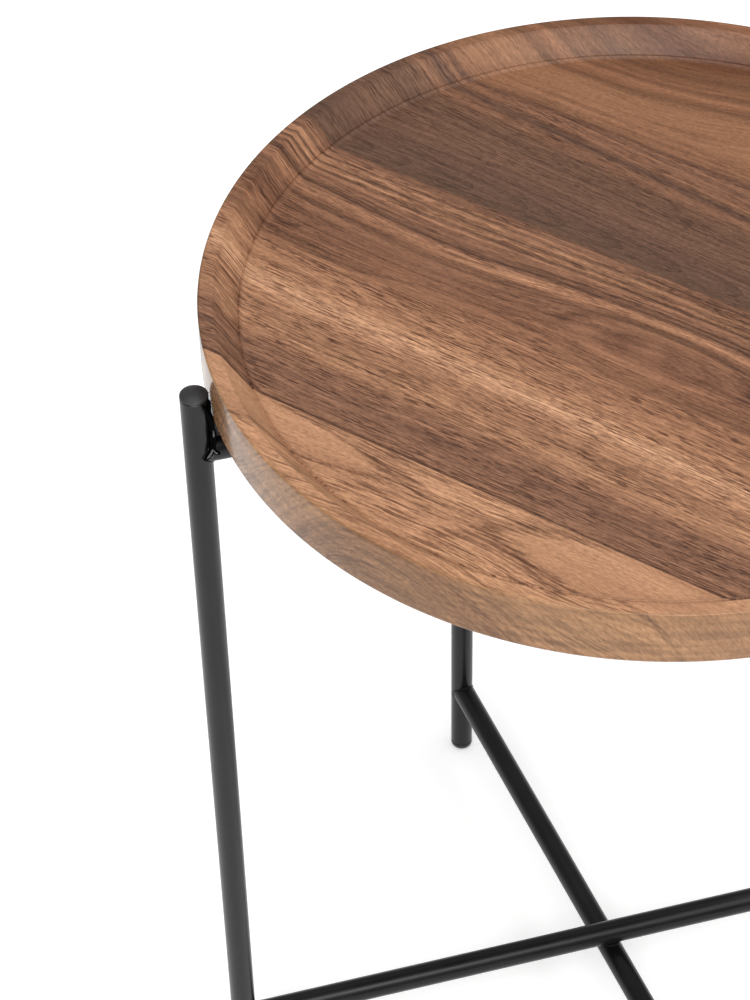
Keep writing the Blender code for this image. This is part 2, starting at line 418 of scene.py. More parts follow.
PLANKS = (
    Plank(-200, -141, (
        (-200, (160, 119, 91)), (-193, (166, 123, 95)), (-187, (184, 140, 109)), (-172, (189, 144, 113)),
        (-160, (178, 134, 105)), (-148, (193, 148, 117)), (-142, (182, 138, 108)),
    ), 11.3, 0.35, 0.40, 0.95),
    Plank(-141, -53, (
        (-141, (120, 87, 70)), (-139, (147, 108, 86)), (-133, (133, 97, 78)), (-129, (142, 104, 83)),
        (-125, (124, 90, 73)), (-120, (146, 107, 85)), (-116, (136, 99, 79)), (-111, (163, 121, 95)),
        (-105, (176, 133, 104)), (-97, (158, 117, 91)), (-88, (176, 132, 104)), (-79, (204, 159, 128)),
        (-74, (185, 141, 111)), (-69, (169, 125, 97)), (-63, (171, 127, 99)), (-58, (160, 117, 91)),
        (-53, (158, 115, 89)),
    ), 27.1, 0.60, 0.45, 1.15),
    Plank(-53, 18, (
        (-53, (122, 86, 66)), (-48, (138, 99, 76)), (-42, (143, 102, 79)), (-30, (136, 97, 76)),
        (-24, (138, 99, 77)), (-22, (112, 79, 61)), (-20.5, (124, 88, 68)), (-18.5, (156, 113, 88)),
        (-15, (176, 131, 103)), (-12.5, (142, 102, 80)), (-10.5, (105, 74, 58)), (-7, (128, 92, 72)),
        (-3.5, (138, 99, 78)), (-1.5, (152, 111, 87)), (0, (107, 76, 60)), (1.5, (164, 122, 95)),
        (3.6, (163, 120, 93)), (5, (102, 73, 58)), (6.2, (158, 116, 90)), (9, (164, 122, 96)),
        (10, (112, 80, 63)), (11.5, (158, 115, 90)), (14, (120, 86, 68)), (16, (130, 93, 73)),
        (18, (110, 80, 64)),
    ), 43.7, 0.95, 0.60, 0.90),
    Plank(18, 96, (
        (18, (103, 77, 63)), (30, (106, 79, 66)), (40, (111, 82, 68)), (50, (118, 87, 71)),
        (64, (114, 84, 68)), (74, (113, 83, 66)), (79, (128, 92, 73)), (82.5, (140, 101, 79)),
        (85, (122, 88, 70)), (87.5, (104, 76, 62)), (90, (120, 86, 68)), (92, (146, 105, 82)),
        (94, (136, 97, 76)), (96, (130, 93, 74)), (98, (146, 105, 82)), (101, (126, 90, 72)),
        (103, (148, 107, 84)), (106, (132, 94, 74)), (110, (144, 104, 82)), (114, (122, 88, 70)),
        (118, (140, 100, 79)),
    ), 61.9, 0.40, 0.55, 0.85),
    Plank(96, 200, (
        (96, (118, 83, 65)), (98, (134, 95, 72)), (103, (148, 106, 80)), (112, (151, 109, 82)),
        (120, (156, 113, 85)), (126, (148, 106, 79)), (130, (118, 82, 60)), (133.5, (146, 102, 76)),
        (136, (157, 112, 84)), (139, (120, 83, 61)), (143, (136, 95, 70)), (148, (126, 87, 63)),
        (152, (110, 75, 54)), (156, (124, 85, 61)), (162, (113, 74, 51)), (168, (105, 66, 45)),
        (174, (128, 88, 65)), (182, (148, 103, 77)), (200, (152, 106, 79)),
    ), 83.2, 0.30, 0.55, 0.50),
)
LOWEST, SECOND, MIDDLE, DARK, HIGHEST = PLANKS
JOINT_SOFTNESS = 0.2  # mm over which one plank gives way to the next
FOIL_DEPTH = (0.752, 0.712, 0.640, 1.0)  # the print's own reflectance over the tones it shows when lit
FOIL_CONTRAST = 1.3
GRAIN_DARK = (0.40, 0.34, 0.32, 1.0)  # how far the streaks darken and lighten a tone
GRAIN_LIGHT = (1.58, 1.62, 1.66, 1.0)
PORE_TINT = (0.38, 0.32, 0.30, 1.0)
PORE_DEPTH = 0.95
DASH_PACE = (0.5, 0.9, 1.0, 1.0, 0.8)  # a dash's usual length over its length in each plank
SHADED_ROWS_DARK = (0.66, 0.67, 0.61, 1.0)  # two tints that run in rows along the drawn wall; both darken it, so they paint shade on the wall as well as rows in the print
SHADED_ROWS_PALE = (0.91, 0.93, 0.84, 1.0)
ROW_COUNTS = (20, 20, 1 / 0.0032)  # cells of the rows' noise to the metre

# Strands of the grain, as length and width in mm
WANDER = (90, 30)
LONG_LINE = (320, 1.5)
BAND = (70, 2.4)
DASH = (9, 0.9)
FIBRE = (2.6, 0.8)
SHORT_PORE = (9, 0.75)
LONG_PORE = (26, 0.72)
PORE_CROWD = (40, 7)
TATTER = (9, 2.5)  # raggedness of the smooth places' edges
CRUMPLE = (3.2, 12)

# How the grain lines bend, in mm
LOW_TONGUES = ((62, 60), (-98, 50))  # centre and half length of two tongues on the lowest plank
LOW_TONGUE_LINE = -155  # across the grain, the line that both lie on
LOW_TONGUE_PART = 0.30  # how strongly lines part round them
DRIFT = 0.03  # slope of the second plank's lines
SAG_LENGTH = 244  # of one whole wave of the middle plank's sagging lines
SAG_CREST = -104
SAG_DEPTH = 4.5
FALL_START = -150  # where the second and the dark plank's lines start to fall
FALL_NEAR_TOP = 0.085  # slopes of the dark plank's lines
FALL_NEAR_BOTTOM = 0.030
SWING_HEIGHT = 24  # how far the highest plank's lines swing up

# Marks in the middle plank: centre and half size along and across the grain in mm, and strength
KNOT_MARKS = (
    (-170, -42, 6, 5, -0.30), (-160, -47, 22, 5, -0.13), (-140, -44, 24, 7, -0.08),
    (-73, -16.5, 5, 1.1, -0.42), (3, -30, 6, 6.5, -0.22), (27, -31, 5, 7, -0.15),
    (16, -26, 4, 5, 0.08), (22, -41, 28, 2.0, 0.24), (68, -32, 22, 10, -0.08),
    (60, -48, 24, 3, -0.12), (-50, -17, 36, 1.6, 0.28), (-100, -24.5, 26, 1.2, 0.16),
)
EYE_CENTRE = (20, -31)  # the oval knot's centre and half size along and across the grain
EYE_HALF = (47, 16.5)
ARCH_TOP = (-57, -43.5)  # a pale arch at the middle plank's lower joint
ARCH_HALF = 68  # half its length, over which it drops by ARCH_DROP
ARCH_DROP = 10.0

# Dark lines along the grain: place across it in mm, half width and strength
JOINT_LINES = ((95.2, 1.2, -0.20), (-140.3, 0.7, -0.30), (5.2, 0.8, -0.12))

# Smooth places with no pores: the tips of the lowest plank's tongues, each with its middle line, the
# curve of its edge, where it sets in along the grain, and its dark fringe; then two by the knots
SMOOTH_TIPS = ((-154, 0.43, (-42, -50), (-36, 8)), (-156, -0.22, (22, 32), (14, 9)))
SMOOTH_KNOTS = ((18, -32, 60, 16, 0.9), (-110, -36, 55, 14, 0.8))

# Nested tongues in the dark plank
TONGUE_LENGTH = 27
TONGUE_MIDDLE = 26
TONGUE_CURVE = 0.45
TONGUE_DEPTH = 0.20


def bell(g, value, centre, width):
    """A smooth hump of height 1; width is where it has fallen to about a third."""
    offset = g.times(g.add(value, -centre), 1 / width)
    return g.math("EXPONENT", g.times(offset, offset, -1.0))


def spot(g, u, v, centre_u, centre_v, half_u, half_v, height):
    """A smooth oval hump."""
    return g.times(bell(g, u, centre_u, half_u), bell(g, v, centre_v, half_v), height)


def window(g, v, low, high, fade):
    """1 between two places across the grain, falling to 0 at both over the fade."""
    return g.times(g.remap(v, low, low + fade), g.remap(v, high, high - fade))


def inside(g, v, plank, fade=12):
    """1 inside a plank, falling to 0 at its joints so that bent grain never crosses them."""
    return window(g, v, plank.low, plank.high, fade)


def choose(g, v, values, mix=Graph.mix):
    """The value of the plank that v lies on; values run from the lowest plank up."""
    chosen = values[0]
    for plank, value in zip(PLANKS[1:], values[1:]):
        here = g.remap(v, plank.low - JOINT_SOFTNESS, plank.low + JOINT_SOFTNESS)
        chosen = mix(g, here, chosen, value)
    return chosen


def strand(g, along, across, length, width, row=0.0, detail=1.0):
    """Noise drawn out along the grain, about -0.3 to 0.3; length and width are in mm."""
    place = g.point(g.times(along, 1 / length), g.times(across, 1 / width), row)
    return g.add(g.noise(place, detail), -0.5)


def foil_bends(g, u, v):
    """How far the grain lines of each plank bend from straight, in mm, lowest plank first."""
    wander = g.times(strand(g, u, v, *WANDER), 14.0)

    # Lowest plank: lines part round two smooth tongues whose tips face each other
    facing = g.add(*(bell(g, u, *tongue) for tongue in LOW_TONGUES))
    tongues = g.times(g.remap(v, LOWEST.high, LOWEST.high - 9), facing)
    parting = g.times(g.add(v, -LOW_TONGUE_LINE), tongues, -LOW_TONGUE_PART)
    first = g.add(g.times(wander, 0.5), parting)

    # Second plank: nearly straight lines that fall a little to the right, more near its upper joint
    drift = g.times(g.add(u, -FALL_START), g.remap(v, -125, -60), DRIFT)
    second = g.add(g.times(wander, inside(g, v, SECOND), 0.3), drift)

    # Middle plank: lines sag left of centre and part round an oval knot
    wave = g.math("COSINE", g.times(g.add(u, -SAG_CREST), math.tau / SAG_LENGTH))
    sag = g.times(wave, SAG_DEPTH, bell(g, v, -22, 22), g.remap(v, 12, 0))
    eye = g.times(bell(g, u, 20, 48), bell(g, v, -30, 16), g.add(v, 30), -0.42)
    third = g.add(sag, eye, g.times(wander, 0.22, inside(g, v, MIDDLE)))

    # Dark plank: lines fall to the right, more steeply near its upper joint
    slope = g.remap(v, 30, 78, FALL_NEAR_BOTTOM, FALL_NEAR_TOP)
    fall = g.times(g.add(u, -FALL_START), slope, g.remap(v, DARK.low, DARK.low + 15))
    fourth = g.add(fall, g.times(wander, 0.25, inside(g, v, DARK)))

    # Highest plank: lines swing up to the right
    swing = g.times(g.remap(u, -100, 40), -SWING_HEIGHT, g.remap(v, 98, 142))
    fifth = g.add(swing, g.times(wander, 0.45, g.remap(v, HIGHEST.low, HIGHEST.low + 16)))
    return first, second, third, fourth, fifth


def arch_mark(g, u, v):
    """A pale arch with a thin dark line along its upper edge."""
    reach = g.times(g.add(u, -ARCH_TOP[0]), 1 / ARCH_HALF)
    arch = g.add(g.times(g.power(reach, 2.0), -ARCH_DROP), ARCH_TOP[1])
    depth = g.less(arch, v)
    return g.add(g.times(g.remap(depth, -0.8, 0.8), 0.13), g.times(bell(g, depth, -0.6, 0.9), -0.10))


def eye_mark(g, u, v):
    """Rings round the oval knot; the outermost shows only round its upper half."""
    along = g.times(g.add(u, -EYE_CENTRE[0]), 1 / EYE_HALF[0])
    across = g.times(g.add(v, -EYE_CENTRE[1]), 1 / EYE_HALF[1])
    reach = g.length(across, along)
    outer = g.times(bell(g, reach, 1.0, 0.09), g.remap(v, -42, -26), -0.17)
    inner = g.times(bell(g, reach, 0.55, 0.07), -0.10)
    pale = g.times(bell(g, reach, 0.78, 0.10), 0.07)
    return g.add(outer, inner, pale)


def tongue_marks(g, u, v):
    """Nested tongues near the dark plank's lower joint, each darkening towards its tip."""
    curve = g.times(g.power(g.add(v, -TONGUE_MIDDLE), 2.0), TONGUE_CURVE)
    waver = g.times(strand(g, u, v, 55, 400), 60)
    tatter = g.times(strand(g, u, v, 5, 3), 4)
    tongue = g.math("FRACT", g.times(g.add(u, curve, waver, tatter), 1 / TONGUE_LENGTH))
    heads = g.times(g.power(tongue, 3.0), g.remap(tongue, 1.0, 0.96), -TONGUE_DEPTH)
    return g.times(heads, window(g, v, DARK.low, 44, 6))


def foil_marks(g, u, v):
    """Darker and lighter patches that lie across the run of the grain, as a share of the tone."""
    knots = g.add(*(spot(g, u, v, *mark) for mark in KNOT_MARKS))
    knots = g.add(knots, arch_mark(g, u, v), eye_mark(g, u, v))
    edge = 0.4
    knots = g.times(knots, window(g, v, MIDDLE.low - edge, MIDDLE.high + edge, edge))
    joints = g.add(*(g.times(bell(g, v, *line[:2]), line[2]) for line in JOINT_LINES))
    return g.add(knots, joints, tongue_marks(g, u, v))


def foil_calm(g, u, v):
    """Where the wood is smooth, with no pores or dashes, and the dark fringe of such places."""
    tatter = g.times(strand(g, u, v, *TATTER), 14)
    tips = []
    fringes = []
    for line, curve, fade, fringe in SMOOTH_TIPS:
        tip = g.add(u, g.times(g.power(g.add(v, -line), 2.0), curve), tatter)
        tips.append(g.remap(tip, *fade))
        fringes.append(bell(g, tip, *fringe))
    knots = g.most(*(spot(g, u, v, *place) for place in SMOOTH_KNOTS))
    dark_foot = g.times(g.remap(v, 52, 42), 0.45)
    top = g.times(g.remap(v, 100, 118), 0.6)
    edge = g.times(g.most(*fringes), g.remap(v, LOWEST.high, LOWEST.high - 1))
    return choose(g, v, (g.most(*tips), 0.0, knots, dark_foot, top)), edge


def plank_tones(g, v, bends):
    """The planks' own colours, each following its bent grain lines."""
    tones = []
    for plank, bend in zip(PLANKS, bends):
        first = plank.tones[0][0]
        last = plank.tones[-1][0]
        stops = [((at - first) / (last - first), tone(*colour)) for at, colour in plank.tones]
        tones.append(g.ramp(g.remap(g.add(v, bend), first, last, smooth=False), stops))
    base = choose(g, v, tones, mix=Graph.mix_colour)
    return g.mix_colour(1.0, base, FOIL_DEPTH, "MULTIPLY")


def foil_print(g, u, v, on_wall):
    """The print's colour, streaks and pores at u along and v across the grain, softer on the wall."""
    bends = foil_bends(g, u, v)
    base = plank_tones(g, v, bends)
    line = g.add(v, choose(g, v, bends))
    ragged = g.add(line, g.times(strand(g, u, v, 16, 8), 0.9))
    calm, fringe = foil_calm(g, u, v)
    rough = g.times(g.add(1.0, g.times(calm, -0.75)), g.add(1.0, g.times(on_wall, -0.5)))
    even = g.add(1.0, g.times(calm, -0.5))
    row, lines, bands, dashes = (choose(g, v, values) for values in list(zip(*PLANKS))[3:])

    streaks = g.add(
        g.times(strand(g, u, line, *LONG_LINE, row), lines, even, 0.9),
        g.times(strand(g, u, line, *BAND, row, 2.0), bands, even, 1.1),
        g.times(strand(g, u, ragged, *DASH, row), dashes, rough, 0.7),
        g.times(strand(g, u, v, *FIBRE), 0.60),
        foil_marks(g, u, v),
        g.times(fringe, -0.22))

    crowd = g.remap(strand(g, u, line, *PORE_CROWD, g.add(row, 9.0)), -0.18, 0.12, 0.35, 1.0)
    drawn_out = g.times(u, choose(g, v, DASH_PACE))
    short = g.remap(strand(g, drawn_out, ragged, *SHORT_PORE, g.add(row, 5.0)), 0.055, 0.09)
    long = g.remap(strand(g, u, ragged, *LONG_PORE, g.add(row, 7.0)), 0.09, 0.13)
    pores = g.times(g.most(short, g.times(long, 0.8)), crowd, rough, dashes)

    tint = g.mix_colour(g.add(0.5, g.times(streaks, FOIL_CONTRAST)), GRAIN_DARK, GRAIN_LIGHT)
    lit = g.mix_colour(1.0, base, tint, "MULTIPLY")
    dark = g.mix_colour(1.0, lit, PORE_TINT, "MULTIPLY")
    return g.mix_colour(g.times(pores, PORE_DEPTH), lit, dark), streaks, pores


def tinted(g, colour, where, tint):
    """The colour, multiplied by a tint where the mask is 1."""
    return g.mix_colour(where, colour, g.mix_colour(1.0, colour, tint, "MULTIPLY"))


def foil_material(tray_radius, rim_top):
    """Walnut-print foil, laid flat over the recess and rim and drawn down the slope and the wall."""
    g = Graph("walnut_foil")
    x, y, z = g.position()
    reach = g.length(x, y)
    rim_inner = tray_radius - RIM_TOP_WIDTH
    on_wall = g.remap(reach, *(tray_radius - inset for inset in WALL_EDGE))
    past_foot = g.remap(reach, *(SLOPE_FOOT + step for step in SLOPE_EDGE))
    on_slope = g.times(past_foot, g.remap(reach, rim_inner, rim_inner - SLOPE_TOP_FADE))

    drop = g.times(g.most(g.less(rim_top, z), 0.0), on_wall)
    to_mm = g.times(g.add(1.0, g.times(drop, WALL_STRETCH / tray_radius)), 1 / MM)
    cos_turn = math.cos(GRAIN_TURN)
    sin_turn = math.sin(GRAIN_TURN)
    u = g.times(g.add(g.times(x, cos_turn), g.times(y, sin_turn)), to_mm)
    v = g.times(g.add(g.times(x, -sin_turn), g.times(y, cos_turn)), to_mm)
    v = g.add(v, g.times(strand(g, u, v, *CRUMPLE), on_slope, SLOPE_CRUMPLE))

    colour, streaks, pores = foil_print(g, u, v, on_wall)
    rows = g.grain((x, y, z), ROW_COUNTS, detail=3.0)
    # painted light: the slope's colour is lifted, partly for the drawn print and partly for the light it
    # catches
    colour = tinted(g, colour, on_slope, SLOPE_PALE_AND_LIT)
    # painted shade: the drawn wall is darkened all over, in rows
    colour = tinted(g, colour, on_wall, g.mix_colour(g.remap(rows, 0.30, 0.66), SHADED_ROWS_DARK, SHADED_ROWS_PALE))
    satin = g.mix(on_wall, *FOIL_ROUGHNESS)
    g.set(Base_Color=colour, Roughness=g.add(satin, g.times(streaks, -0.10), g.times(pores, 0.2)))
    g.set(Specular_IOR_Level=FOIL_GLOSS)
    relief = g.add(g.times(streaks, 0.5), g.times(pores, -1.0))
    g.bump(g.times(relief, g.remap(on_wall, 0.0, 1.0, 1.0, WALL_RELIEF)), FOIL_BUMP, FOIL_RELIEF)
    return g.material


def backing_material():
    """Plain brown melamine paper that faces the underside of the board."""
    g = Graph("board_backing")
    x, y, _ = g.position()
    fibre = g.grain((x, y), (60, 900), detail=3.0)
    cloud = g.grain((x, y), (25, 25))
    shade = g.add(g.times(g.add(fibre, -0.5), 0.6), g.times(g.add(cloud, -0.5), 0.3))
    browns = [(0.0, tone(58, 41, 31)), (0.5, tone(92, 66, 50)), (1.0, tone(122, 90, 68))]
    g.set(Base_Color=g.ramp(g.add(0.5, shade), browns), Roughness=g.add(0.55, g.times(cloud, 0.1)))
    g.bump(fibre, 0.12, 0.0002)
    return g.material


# ---- black materials

def coat_material(name, base, roughness, peel_size, peel_strength, gloss, dust=0.25):
    """Paint or moulded plastic: nearly black, with a fine peel, faint dust and uneven gloss."""
    g = Graph(name)
    place = g.position()
    peel = g.grain(place, (1 / peel_size,) * 3)
    cloud = g.grain(place, (40, 40, 25), detail=3.0)
    speck = g.grain(place, (2600, 2600, 2600), detail=0.0)
    dusty = g.times(g.remap(speck, 0.70, 0.80), g.remap(cloud, 0.40, 0.62), dust)
    thin = tuple(channel * 0.8 for channel in base) + (1.0,)
    thick = tuple(channel * 1.25 for channel in base) + (1.0,)
    painted = g.mix_colour(g.remap(cloud, 0.3, 0.7), thin, thick)
    g.set(Base_Color=g.mix_colour(dusty, painted, grey(0.09)), Specular_IOR_Level=gloss)
    g.set(Roughness=g.add(roughness - 0.05, g.times(cloud, 0.10), g.times(dusty, 0.3)))
    g.bump(peel, peel_strength, 0.00012)
    return g.material


def tube_coat():
    """Satin powder coat of the posts and bars."""
    return coat_material(
        "black_powder_coat", base=(0.0045, 0.0045, 0.0050), roughness=0.30,
        peel_size=0.0007, peel_strength=0.10, gloss=0.27)


def weld_coat():
    """The same coat where it lies thick over weld beads and lugs, made darker and duller than on the
    tubes, which also paints shade into the joints and onto the lugs.
    """
    return coat_material(
        "thick_shaded_powder_coat", base=(0.0030, 0.0030, 0.0034), roughness=0.30,
        peel_size=0.0011, peel_strength=0.12, gloss=0.16)


def shade_black_coat():
    """Dead black coat with almost no sheen on the upright tack welds: painted shade for the shadow and
    dark reflections between post and tray.
    """
    return coat_material(
        "shade_black_powder_coat", base=(0.0008, 0.0008, 0.0010), roughness=0.22,
        peel_size=0.0014, peel_strength=0.06, gloss=0.01, dust=0.0)


def drip_coat():
    """Wet-looking drips on the tack welds, which catch the light."""
    return coat_material(
        "glossy_powder_coat", base=(0.0020, 0.0020, 0.0024), roughness=0.12,
        peel_size=0.0014, peel_strength=0.10, gloss=1.00, dust=0.0)


def plug_plastic():
    """Moulded plastic of the caps and feet."""
    return coat_material(
        "black_plastic", base=(0.017, 0.017, 0.018), roughness=0.36,
        peel_size=0.0004, peel_strength=0.10, gloss=0.45)


def washer_nylon():
    # Black nylon, darkened and dulled, which also paints in the shade under the crossing
    return coat_material(
        "dark_nylon", base=(0.006, 0.006, 0.006), roughness=0.55,
        peel_size=0.0005, peel_strength=0.10, gloss=0.12, dust=0.1)


def steel_material():
    """Blackened steel, brighter where tools and turning have rubbed it."""
    g = Graph("blackened_steel")
    place = g.position()
    turning = g.grain(place, (300, 300, 6000))
    patch = g.grain(place, (500, 500, 500), detail=3.0)
    rubbed = g.remap(g.add(patch, g.times(turning, 0.3)), 0.60, 0.78)
    g.set(Base_Color=g.mix_colour(rubbed, (0.05, 0.05, 0.055, 1.0), (0.26, 0.26, 0.27, 1.0)))
    g.set(Metallic=1.0, Roughness=g.mix(rubbed, 0.46, 0.28))
    g.bump(g.add(patch, turning), 0.15, 0.0001)
    return g.material


# ---- tray

def tray_profile(radius, base, top):
    """Half the tray's section: out along the underside, up and over the rim, and in along the recess."""
    floor = base + TRAY_BOARD
    rim_inner = radius - RIM_TOP_WIDTH
    foot_z = floor + SLOPE_FOOT_RISE
    slope = math.atan2(top - foot_z, rim_inner - SLOPE_FOOT)
    edge = TOP_EDGE_ROUND
    corner = BOTTOM_EDGE_ROUND
    profile = [(0, base)] + [(ring, base) for ring in FLAT_RINGS]
    profile += [(radius - corner - BASE_EDGE_RING, base)]
    profile += arc(radius - corner, base + corner, corner, -90, 0, 8)
    profile += [(radius, base + ring) for ring in WALL_RINGS]
    profile += arc(radius - edge, top - edge, edge, 0, 90, 6)
    setback = edge * math.tan(slope / 2)
    profile += arc(rim_inner + setback, top - edge, edge, 90, 90 + math.degrees(slope), 5)
    profile += [((rim_inner + SLOPE_FOOT) / 2, (top + foot_z) / 2)]

    groove_inner = SLOPE_FOOT - GROOVE_WIDTH
    groove_low = foot_z - GROOVE_DEPTH
    lip = GROOVE_LIP
    profile += [
        (SLOPE_FOOT + 1.2 * lip, foot_z + 1.2 * lip),
        (SLOPE_FOOT - 0.6 * lip, foot_z - lip),
        (SLOPE_FOOT - 0.34 * GROOVE_WIDTH, groove_low),
        (SLOPE_FOOT - 0.58 * GROOVE_WIDTH, groove_low),
        (groove_inner + 0.6 * lip, foot_z - lip),
        (groove_inner - lip, foot_z),
    ]
    for i in range(1, COVE_STEPS + 1):
        share = i / COVE_STEPS
        profile.append((groove_inner - COVE_WIDTH * share, floor + SLOPE_FOOT_RISE * (1 - share) ** 2))
    profile += [(FLOOR_EDGE_RING, floor)] + [(ring, floor) for ring in reversed(FLAT_RINGS)] + [(0, floor)]
    return profile


def make_tray(foil, backing):
    """The whole board as one turned piece, with its underside in backing paper."""
    low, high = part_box("tray")
    bm = turned(tray_profile(high.x, low.z, high.z), TRAY_SEGMENTS)
    for face in bm.faces:
        if all(vert.co.z < low.z + 1e-6 for vert in face.verts):
            face.material_index = 1
    stand_in("tray", "_board", bm, [foil, backing])


# ---- posts and their plugs

def make_post(corner, material):
    node = "post_" + corner
    low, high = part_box(node)
    centre = post_centre(corner)
    profile = [
        (TUBE_BORE, low.z),
        (TUBE_RADIUS - TUBE_LIP, low.z),
        (TUBE_RADIUS, low.z + TUBE_LIP),
        (TUBE_RADIUS, high.z - TUBE_LIP),
        (TUBE_RADIUS - TUBE_LIP, high.z),
        (TUBE_BORE, high.z),
    ]
    bm = turned(profile, TUBE_SEGMENTS, closed=True, centre=(centre.x, centre.y))
    stand_in(node, "_tube", bm, [material])


def make_cap(corner, material):
    """A plug with a shallow dome, and the mark of its moulding gate on its rim."""
    node = "cap_" + corner
    low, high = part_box(node)
    centre = post_centre(corner)
    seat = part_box("post_" + corner)[1].z + PLUG_SEAT_GAP
    shoulder = high.z - CAP_DOME
    rim = TUBE_RADIUS - CAP_EDGE_ROUND
    profile = [
        (0, low.z),
        (PLUG_STEM_RADIUS - PLUG_STEM_CHAMFER, low.z),
        (PLUG_STEM_RADIUS, low.z + PLUG_STEM_CHAMFER),
        (PLUG_STEM_RADIUS, seat),
        (TUBE_RADIUS - PLUG_SEAT_CHAMFER, seat),
        (TUBE_RADIUS, seat + PLUG_SEAT_CHAMFER),
    ]
    profile += arc(rim, shoulder - CAP_EDGE_ROUND, CAP_EDGE_ROUND, 0, 75, 6)
    for i in range(1, CAP_STEPS + 1):
        share = 1 - i / CAP_STEPS
        profile.append((rim * share, shoulder + CAP_DOME * (1 - share ** 2.4)))
    bm = turned(profile, TUBE_SEGMENTS, centre=(centre.x, centre.y))

    axis = Vector((centre.x, centre.y, shoulder - GATE_MARK_DROP))
    outward = Vector((centre.x, centre.y, 0)).normalized()
    mark = Matrix.Translation(axis - outward * (0.99 * TUBE_RADIUS))
    bmesh.ops.create_icosphere(bm, subdivisions=2, radius=GATE_MARK_RADIUS, matrix=mark)
    stand_in(node, "_plug", bm, [material])


def make_foot(corner, material):
    """A plug with a rounded glide at its lower end."""
    node = "foot_" + corner
    low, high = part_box(node)
    centre = post_centre(corner)
    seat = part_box("post_" + corner)[0].z - PLUG_SEAT_GAP
    profile = [(0, low.z)]
    profile += arc(TUBE_RADIUS - FOOT_ROUND, low.z + FOOT_ROUND, FOOT_ROUND, -90, 0, 10)
    profile += [
        (TUBE_RADIUS, seat - PLUG_SEAT_CHAMFER),
        (TUBE_RADIUS - PLUG_SEAT_CHAMFER, seat),
        (PLUG_STEM_RADIUS, seat),
        (PLUG_STEM_RADIUS, high.z - PLUG_STEM_CHAMFER),
        (PLUG_STEM_RADIUS - PLUG_STEM_CHAMFER, high.z),
        (0, high.z),
    ]
    bm = turned(profile, TUBE_SEGMENTS, centre=(centre.x, centre.y))
    stand_in(node, "_glide", bm, [material])


# ---- bars and welds

BAR_RINGS = (-0.012, -0.006, 0.0, 0.006, 0.012)  # extra rings that keep the pivot hole's faces small


def coped_tube(half):
    """A hollow tube along X from post axis to post axis, its ends shaped to the posts' walls."""
    bm = bmesh.new()
    wall = TUBE_RADIUS - BITE
    shells = []
    for radius in (TUBE_RADIUS, TUBE_BORE):
        rings = []
        for station in (-half, *BAR_RINGS, half):
            ring = []
            for i in range(TUBE_SEGMENTS):
                angle = math.tau * i / TUBE_SEGMENTS
                y = radius * math.cos(angle)
                x = station
                if abs(station) == half:
                    x = math.copysign(half - math.sqrt(max(wall * wall - y * y, 0.0)), station)
                ring.append(bm.verts.new((x, y, radius * math.sin(angle))))
            rings.append(ring)
        shells.append(rings)
    outer, inner = shells
    strips = [*zip(outer, outer[1:]), *zip(inner[1:], inner), (inner[0], outer[0]), (outer[-1], inner[-1])]
    for a, b in strips:
        join(bm, a, b)
    return bm


def make_bar(name, start, end, height, hole, material):
    """A bar with its pivot hole; hole is the (low, high) reach of the drill."""
    bm = transformed(coped_tube(half_span(start, end)), frame_matrix(start, end, height))
    bm = drilled(bm, upright(SLEEVE_RADIUS + DRILL_CLEARANCE, *hole, PIVOT_SEGMENTS))
    stand_in(name, "_tube", bm, [material])


def saddle_points(half):
    """Points round a bar where it meets its post, just off the post's wall."""
    points = []
    for i in range(WELD_STEPS):
        angle = math.tau * i / WELD_STEPS
        y = TUBE_RADIUS * math.sin(angle)
        reach = math.sqrt(max(TUBE_RADIUS ** 2 - y * y, 0.0) + (0.6 * WELD_RADIUS) ** 2)
        points.append(Vector((half - reach, y, TUBE_RADIUS * math.cos(angle))))
    return points


def make_weld(name, start, end, side, height, body, material):
    """The bead where a bar meets a post, thin at the flanks where the two tubes are tangent."""
    half = half_span(start, end)
    points = saddle_points(half)
    centre = Vector((half - 0.3 * TUBE_RADIUS, 0, 0))
    bm = bmesh.new()
    rings = []
    for i, point in enumerate(points):
        along = (points[(i + 1) % WELD_STEPS] - points[i - 1]).normalized()
        out = point - centre
        out = (out - along * out.dot(along)).normalized()
        across = along.cross(out)
        angle = math.tau * i / WELD_STEPS
        fullness = 0.4 + 0.6 * abs(math.cos(angle))
        radius = WELD_RADIUS * fullness * (1 + RIPPLE_HEIGHT * math.sin(angle * RIPPLE_COUNT))
        ring = []
        for k in range(WELD_SEGMENTS):
            turn = math.tau * k / WELD_SEGMENTS
            ring.append(bm.verts.new(point + (out * math.cos(turn) + across * math.sin(turn)) * radius))
        rings.append(ring)
    for a, b in zip(rings, rings[1:] + rings[:1]):
        join(bm, a, b)
    flip = Matrix.Rotation(math.pi if side < 0 else 0.0, 4, "Z")
    transformed(bm, frame_matrix(start, end, height) @ flip)
    add_piece(name, bm, [material], body, sharp_deg=80)


def dress_lug(corner, material):
    """The lug's own CAD shape stays; it only gets its material."""
    lug = frame["nodes"]["rest_lug_" + corner]
    lug.data.materials.clear()
    lug.data.materials.append(material)


